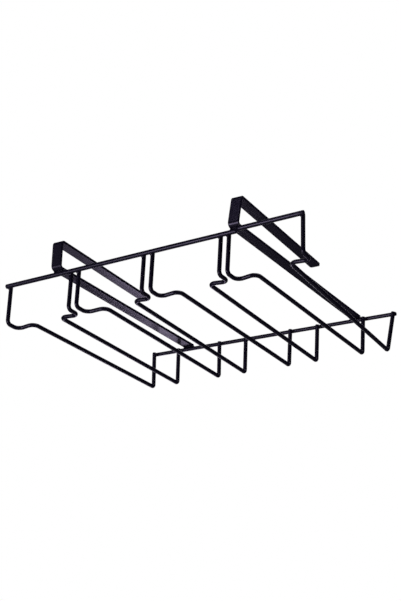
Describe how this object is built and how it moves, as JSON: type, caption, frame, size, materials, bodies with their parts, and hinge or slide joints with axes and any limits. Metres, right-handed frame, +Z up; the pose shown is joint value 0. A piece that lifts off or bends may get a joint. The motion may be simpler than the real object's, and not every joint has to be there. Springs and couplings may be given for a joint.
{
  "type": "hanging stemware rack",
  "caption": "Black wire rack that clips over a shelf board's edge on flat strip brackets and holds stemmed glasses upside down by their feet in open channels.",
  "frame": {"origin": "on the rack's middle plane between its second and third channels, on the plane of the brackets' webs' inner faces, at the mean height of the upper arms' undersides, where the top front edge of the shelf board would lie", "axes": "+X along the cross bars to the right as seen from the mouths, +Y from the open mouths towards the rear of the shelf, +Z up"},
  "size_m": [0.4212, 0.3007, 0.0991],
  "materials": {
    "black_powder_coat": "satin black powder coat on bent steel wire and flat steel strip"
  },
  "bodies": {
    "root": {"front_bar": "black_powder_coat", "rear_bar": "black_powder_coat", "rail_1_left": "black_powder_coat", "rail_1_right": "black_powder_coat", "rail_2_left": "black_powder_coat", "rail_2_right": "black_powder_coat", "rail_3_left": "black_powder_coat", "rail_3_right": "black_powder_coat", "rail_4_left": "black_powder_coat", "rail_4_right": "black_powder_coat", "bracket_left": "black_powder_coat", "bracket_right": "black_powder_coat"}
  },
  "joints": []
}
